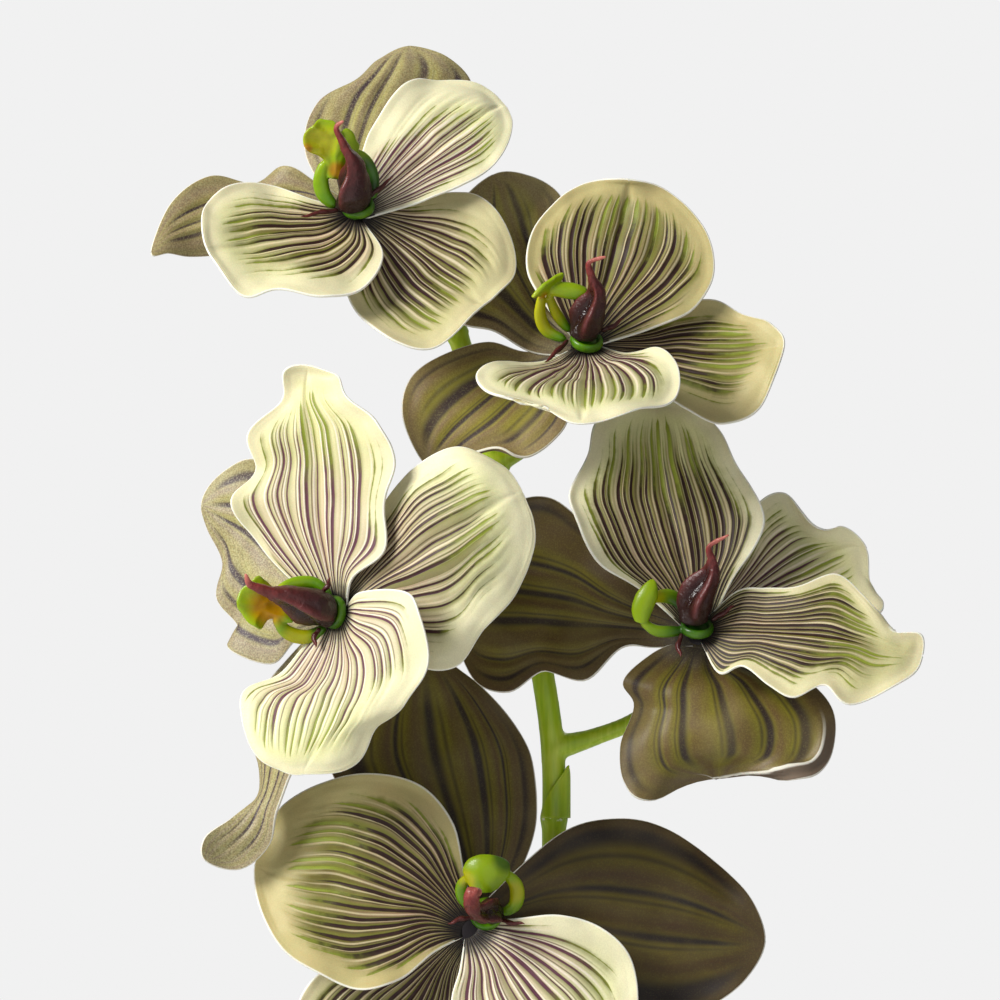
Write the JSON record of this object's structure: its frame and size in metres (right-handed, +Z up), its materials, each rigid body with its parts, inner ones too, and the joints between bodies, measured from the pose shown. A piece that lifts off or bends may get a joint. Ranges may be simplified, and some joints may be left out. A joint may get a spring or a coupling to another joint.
{
  "type": "vanda orchid stem in vase",
  "caption": "Cut orchid stem with open striped blooms, dark rear sepals and green lips, standing in water in a plain narrow-necked ceramic vase.",
  "frame": {"origin": "middle of the vase's foot, on the surface that it stands on", "axes": "+Z up along the vase and the stem, +X to the right and -Y to the front, where the blooms face"},
  "size_m": [0.1887, 0.1064, 0.6207],
  "materials": {
    "vase": "gloss",
    "water": "polished",
    "stem": "satin",
    "petal": "matte",
    "sepal": "matte",
    "lip": "satin",
    "column": "gloss"
  },
  "bodies": {
    "root": {"vase": "vase", "water": "water", "stem": "stem", "bloom_1_petals": "petal", "bloom_1_sepals": "sepal", "bloom_1_lip": "lip", "bloom_1_column": "column", "bloom_2_petals": "petal", "bloom_2_sepals": "sepal", "bloom_2_lip": "lip", "bloom_2_column": "column", "bloom_3_petals": "petal", "bloom_3_sepals": "sepal", "bloom_3_lip": "lip", "bloom_3_column": "column", "bloom_4_petals": "petal", "bloom_4_sepals": "sepal", "bloom_4_lip": "lip", "bloom_4_column": "column", "bloom_5_petals": "petal", "bloom_5_sepals": "sepal", "bloom_5_lip": "lip", "bloom_5_column": "column"}
  },
  "joints": []
}
